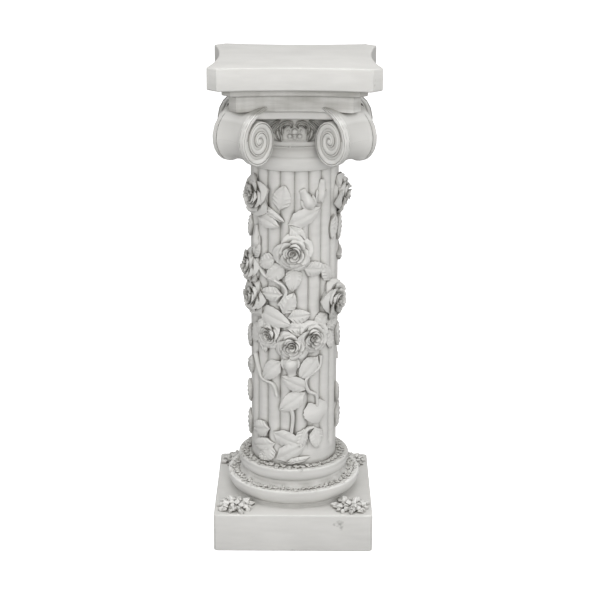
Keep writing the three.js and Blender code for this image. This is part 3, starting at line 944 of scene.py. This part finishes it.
def set_roses(pattern, roses):
    """Roses set on the shaft, each facing straight out and turned about its own axis."""
    nodes, size = geometry_tree("set roses", Rose=object)
    shape = nodes.add("GeometryNodeObjectInfo", {}, {"Object": size["Rose"]}, "Geometry")
    euler = nodes.vector(math.pi / 2, 0.0, nodes.attribute("angle"))
    turn = nodes.add("FunctionNodeEulerToRotation", {}, {0: euler})
    half = nodes.attribute("diameter") / 2
    copies = nodes.add("GeometryNodeInstanceOnPoints", {}, {
        "Points": size["Geometry"], "Instance": shape, "Rotation": turn,
        "Scale": nodes.vector(half, half, half)})
    own = nodes.add("FunctionNodeEulerToRotation", {}, {0: nodes.vector(0.0, 0.0, nodes.attribute("spin"))})
    spun = nodes.add("GeometryNodeRotateInstances", {}, {
        "Instances": copies, "Rotation": own, "Local Space": True})
    angles = [math.radians(row[0]) for row in roses]
    places = [
        (SHAFT_RADIUS * math.sin(a), -SHAFT_RADIUS * math.cos(a), row[1])
        for a, row in zip(angles, roses)
    ]
    points = marked_points(
        places, angle=angles, diameter=[row[2] for row in roses],
        spin=[math.radians(row[3]) for row in roses])
    return grown(end_tree(nodes, spun, STONE), points, Rose=pattern)


def flat_place(angle, height, lean):
    """Where a flat piece goes before it is bent round the shaft."""
    across = math.radians(angle) * SHAFT_RADIUS
    return Matrix.Translation((across, height, 0.0)) @ Matrix.Rotation(-math.radians(lean), 4, "Z")


def garland():
    back_leaves = [
        (angle, height, 60 * index + 360 * k / LEAVES_PER_BACK_ROSE, 1.15 * diameter, 0.5 * diameter)
        for index, (angle, height, diameter, _) in enumerate(BACK_ROSES)
        for k in range(LEAVES_PER_BACK_ROSE)
    ]
    flat = [stem(points) for points in STEMS]
    for angle, height, lean, width, length in BUDS:
        flat.append(moved(bud(width, length), flat_place(angle, height, lean)))
    return [
        *laid_leaves(LEAVES + back_leaves, LEAF_KINDS, SHAFT_RADIUS),
        *laid_leaves(HEART_LEAVES, [HEART_LEAF], SHAFT_RADIUS),
        set_roses(rose(WHORLS), ROSES),
        set_roses(rose(WHORLS[::2]), BACK_ROSES),
        grown(BENDING, joined(flat), Radius=SHAFT_RADIUS),
    ]


# Wreaths, bell carving and corner spurs

def wreath_tree():
    """One row of small leaves round a rim, turned a little at random."""
    nodes, size = geometry_tree(
        "wreath row", Leaf=object, Count=int, Radius=float, Height=float, Length=float,
        Width=float, Relief=float, Tilt=float, Aim=float, Seed=int)
    pattern = nodes.add("GeometryNodeObjectInfo", {}, {"Object": size["Leaf"]}, "Geometry")
    ring = nodes.add(
        "GeometryNodeMeshCircle", {"fill_type": "NONE"},
        {"Vertices": size["Count"], "Radius": size["Radius"]})
    lifted = nodes.add("GeometryNodeSetPosition", {}, {
        "Geometry": ring, "Offset": nodes.vector(0.0, 0.0, size["Height"])})
    place = nodes.add("GeometryNodeInputPosition")
    around = place.part("Y").angle_to(place.part("X"))

    def chance(low, high, step):
        return nodes.add("FunctionNodeRandomValue", {"data_type": "FLOAT"}, {
            2: low, 3: high, "Seed": size["Seed"] + step}, 1)

    aim = around - math.pi / 2 + size["Aim"] + chance(-0.55, 0.55, 1)
    euler = nodes.vector(size["Tilt"] + chance(-0.25, 0.25, 2), chance(-0.3, 0.3, 3), aim)
    turn = nodes.add("FunctionNodeEulerToRotation", {}, {0: euler})
    grow = chance(0.8, 1.2, 4)
    scale = nodes.vector(size["Width"] * grow, size["Length"] * grow, size["Relief"])
    copies = nodes.add("GeometryNodeInstanceOnPoints", {}, {
        "Points": lifted, "Instance": pattern, "Rotation": turn, "Scale": scale})
    return end_tree(nodes, copies, STONE)


def small_leaf():
    """A plain small leaf of unit size for the wreaths, with a groove along it."""
    along = np.array([0.0, 0.45, 1.0])[:, None]
    across = np.array([-1.0, -0.4, 0.0, 0.4, 1.0])[None, :]
    half = 0.10 + 0.40 * np.sin(math.pi * along ** 0.8)
    x = across * half
    y = along + 0.0 * across
    z = 0.30 * np.sin(math.pi * (0.12 + 0.76 * along)) * (1.0 - 0.6 * across ** 2) - 0.10 * (across == 0.0)
    front = np.column_stack([x.ravel(), y.ravel(), z.ravel()])
    back = front * (0.8, 0.9, 0.0) + (0.0, 0.05, -0.40)
    return backed(front, back, grid_faces(3, 5))


# Rows of a wreath: inset from the rim, rise above it, tilt and aim of its leaves
WREATH_ROWS = [
    (0.0070, 0.0024, 0.0, 0.9), (0.0088, 0.0032, 0.05, 2.4), (0.0114, 0.0030, 0.10, 3.6),
    (0.0143, 0.0026, 0.10, -1.0),
]


def wreaths():
    tree = wreath_tree()
    pattern = small_leaf()
    rows = []
    rims = [(LOWER_RADIUS, LOWER_RIM, LOWER_WREATH), (UPPER_RADIUS, UPPER_RIM, UPPER_WREATH)]
    for radius, rim, count in rims:
        for k, (inset, rise, tilt, aim) in enumerate(WREATH_ROWS):
            blank = bpy.data.meshes.new("blank")
            rows.append(grown(
                tree, blank, Leaf=pattern, Count=count - 3 * k, Radius=radius - inset, Height=rim + rise,
                Length=0.0074, Width=0.0062, Relief=0.0066, Tilt=tilt, Aim=aim, Seed=10 * k + count))
    return rows


# Across a carved tongue: (share of its half width, height as a share of the raise)
TONGUE_SECTION = [(-1.0, 0.25), (-0.6, 0.95), (0.0, 0.4), (0.6, 0.95), (1.0, 0.25)]


def tongue(spine, width, raise_by):
    """A carved tongue along a curved spine, drawn flat: tapered to its tip, with a groove along it."""
    spine = np.array(spine, float)
    fine = np.linspace(0, len(spine) - 1, 10)
    index = np.arange(len(spine))
    middle = np.column_stack([np.interp(fine, index, spine[:, k]) for k in (0, 1)])
    for _ in range(2):
        middle[1:-1] = (middle[:-2] + 2 * middle[1:-1] + middle[2:]) / 4
    ahead = np.gradient(middle, axis=0)
    ahead /= np.linalg.norm(ahead, axis=1)[:, None]
    aside = np.column_stack([ahead[:, 1], -ahead[:, 0]])
    t = smooth_steps(len(fine))
    half = width / 2 * (0.55 + 0.6 * np.sin(math.pi * t ** 0.8)) * np.minimum(1.0, 3.2 * (1.06 - t))
    rows = []
    for across, rise in TONGUE_SECTION:
        plan = middle + aside * (half * across)[:, None]
        rows.append(np.column_stack([plan, raise_by * rise * (0.75 + 0.35 * t)]))
    front = np.array(rows).reshape(-1, 3)
    back = front.copy()
    back[:, 2] = -0.004
    return backed(front, back, grid_faces(len(TONGUE_SECTION), len(fine)))


# One half of the bell's carving, millimetres from the middle of its foot: each tongue's spine and width
BELL_TONGUES = [
    ([(-32, 8), (-26, 18), (-19, 25), (-11.5, 28.5), (-5.5, 28), (-2.4, 24), (-2.8, 20), (-6, 19)], 6.0),
    ([(-7, 24), (-10, 24), (-13, 21.5), (-16, 18)], 4.6),
    ([(-16, 26), (-19.5, 21.5), (-19.5, 16), (-17, 9)], 5.2),
    ([(-24.5, 17), (-23.5, 11), (-21, 5), (-18.5, -0.5)], 6.0),
    ([(-28, 14), (-29, 8), (-26, 2.5), (-20, -0.5)], 6.0),
    ([(-22, 30), (-29, 26), (-35, 19.5), (-39, 13)], 5.0),
]
# Beads of the bell's carving: place and radius in millimetres
BELL_BEADS = [
    (0.0, 13.9, 4.6), (-7.5, 7.0, 3.4), (7.5, 7.0, 3.4), (0.0, 8.0, 2.6), (0.0, 4.6, 2.7),
    (-9.4, 14.8, 1.7), (9.4, 14.8, 1.7), (-3.1, -4.6, 2.5), (4.2, -4.4, 2.3), (-6.5, -9.0, 1.9),
]


def bell_carving():
    """Two leaves of curling tongues that arch over a trefoil of beads, on each of the bell's four faces."""
    millimetre = 0.001
    flat = []
    for spine, width in BELL_TONGUES:
        for side in (-1, 1):
            place = [(-side * x * millimetre, y * millimetre) for x, y in spine]
            flat.append(tongue(place, width * millimetre, BELL_RELIEF))
    for x, y, radius in BELL_BEADS:
        size = radius * millimetre
        flat.append(ball((x * millimetre, y * millimetre, 0.0022), (size, size, size)))
    lifted = moved(joined(flat), Matrix.Translation((0.0, BEAD_TOP, 0.0)))
    face = grown(BENDING, lifted, Radius=BELL_RADIUS)
    return [moved(face, at_angle(90 * k)) for k in range(4)]


# Rings of a spur's leaves: leaves, reach of their base, length, width, tilt
SPUR_RINGS = [
    (13, 0.0185, 0.0110, 0.0085, 0.10), (10, 0.0120, 0.0115, 0.0090, 0.35), (7, 0.0070, 0.0105, 0.0085, 0.60),
    (4, 0.0020, 0.0095, 0.0080, 0.90),
]


def spurs():
    """A flat rosette of small curled leaves in each corner of the plinth's top."""
    chance = np.random.default_rng(8)
    pattern = small_leaf()
    pieces = []
    for count, reach, length, width, tilt in SPUR_RINGS:
        for index in range(count):
            turn = at_angle(360 * index / count + chance.uniform(-16, 16))
            grow = chance.uniform(0.65, 1.3)
            size = Matrix.Diagonal((width * grow, length * grow, 0.011, 1.0))
            lift = Matrix.Translation((0.0, reach, 0.0022 + 0.004 * tilt))
            curl = Matrix.Rotation(chance.uniform(-0.6, 0.6), 4, "Y")
            pieces.append(moved(pattern, turn @ lift @ Matrix.Rotation(tilt, 4, "X") @ curl @ size))
    pieces.append(ball((0.0, 0.0, 0.002), (0.016, 0.016, 0.0045), 20))
    wide = Matrix.Diagonal((SPUR_WIDTH, 1.0, 1.0, 1.0))
    place = Matrix.Translation((0.0, -SPUR_PLACE * math.sqrt(2), PLINTH_TOP))
    cluster = moved(joined(pieces), place @ wide)
    return [moved(cluster, at_angle(45 + 90 * corner)) for corner in range(4)]


def cleaned(mesh):
    """Drops pairs of faces on the same points, and leftover points along nearly straight edges."""
    work = bmesh.new()
    work.from_mesh(mesh)
    on_points = {}
    for face in work.faces:
        on_points.setdefault(frozenset(face.verts), []).append(face)
    twins = [face for faces in on_points.values() if len(faces) > 1 for face in faces]
    bmesh.ops.delete(work, geom=twins, context="FACES")
    bmesh.ops.dissolve_limit(work, angle_limit=NEARLY_STRAIGHT, verts=work.verts, edges=[])
    work.to_mesh(mesh)
    work.free()
    return mesh


def pedestal():
    parts = [
        square_step(0.0, PLINTH_TOP, PLINTH_HALF, 0.0, PLINTH_CUT),
        base(),
        reeded_shaft(),
        collar_and_bell(),
        *[square_step(*step) for step in STEPS_UNDER_SLAB],
        *scrolls(),
        *garland(),
        *wreaths(),
        *bell_carving(),
        *spurs(),
    ]
    mesh = cleaned(fused(joined(parts)))
    mesh.name = "cast_pedestal"
    mesh.shade_smooth()
    mesh.set_sharp_from_angle(angle=SHARP_EDGE)
    piece = bpy.data.objects.new("cast_pedestal", mesh)
    bpy.context.scene.collection.objects.link(piece)
    return piece


# Studio

def floor():
    half = 30.0
    mesh = bpy.data.meshes.new("floor")
    corners = [(-half, -half, 0.0), (half, -half, 0.0), (half, half, 0.0), (-half, half, 0.0)]
    mesh.from_pydata(corners, [], [(0, 1, 2, 3)])
    material = bpy.data.materials.new("pale_floor")
    material.use_nodes = True
    shader = material.node_tree.nodes["Principled BSDF"]
    shader.inputs["Base Color"].default_value = (0.9, 0.9, 0.9, 1.0)
    shader.inputs["Emission Color"].default_value = (1.0, 1.0, 1.0, 1.0)
    shader.inputs["Emission Strength"].default_value = 0.72
    shader.inputs["Roughness"].default_value = 0.9
    mesh.materials.append(material)
    ground = bpy.data.objects.new("floor", mesh)
    bpy.context.scene.collection.objects.link(ground)
    return ground


def soft_light(name, place, power):
    light = bpy.data.lights.new(name, "AREA")
    light.shape = "SQUARE"
    light.size = LIGHT_SIZE
    light.energy = power
    lamp = bpy.data.objects.new(name, light)
    direction = Vector(LIGHT_AIM) - Vector(place)
    lamp.location = place
    lamp.rotation_euler = direction.to_track_quat("-Z", "Y").to_euler()
    bpy.context.scene.collection.objects.link(lamp)


def studio():
    ground = floor()
    ground.visible_diffuse = False
    ground.visible_glossy = False
    world = bpy.data.worlds.new("studio")
    world.use_nodes = True
    nodes = Nodes(world.node_tree)
    upward = nodes.add("ShaderNodeTexCoord", output="Generated").part("Z")
    brightness = (upward * 0.9 + 0.25).at_least(0.0).at_most(1.0) * 0.36 + 0.31
    sky = world.node_tree.nodes["Background"]
    sky.inputs["Color"].default_value = (1.0, 1.0, 1.0, 1.0)
    nodes.feed(sky.inputs["Strength"], brightness)
    bpy.context.scene.world = world
    for light in LIGHTS:
        soft_light(*light)
    bpy.context.scene.view_settings.view_transform = "Standard"


def photo_camera():
    camera = bpy.data.cameras.new("photo_camera")
    camera.lens = CAMERA_LENS
    camera.clip_end = 100.0
    viewer = bpy.data.objects.new("photo_camera", camera)
    pitch = Matrix.Rotation(math.pi / 2 - CAMERA_PITCH, 4, "X")
    viewer.matrix_world = Matrix.Translation(CAMERA_PLACE) @ pitch @ Matrix.Rotation(CAMERA_ROLL, 4, "Z")
    bpy.context.scene.collection.objects.link(viewer)
    bpy.context.scene.camera = viewer


photo_camera()
studio()
casting = pedestal()
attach(casting, "root")
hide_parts("column_pedestal")
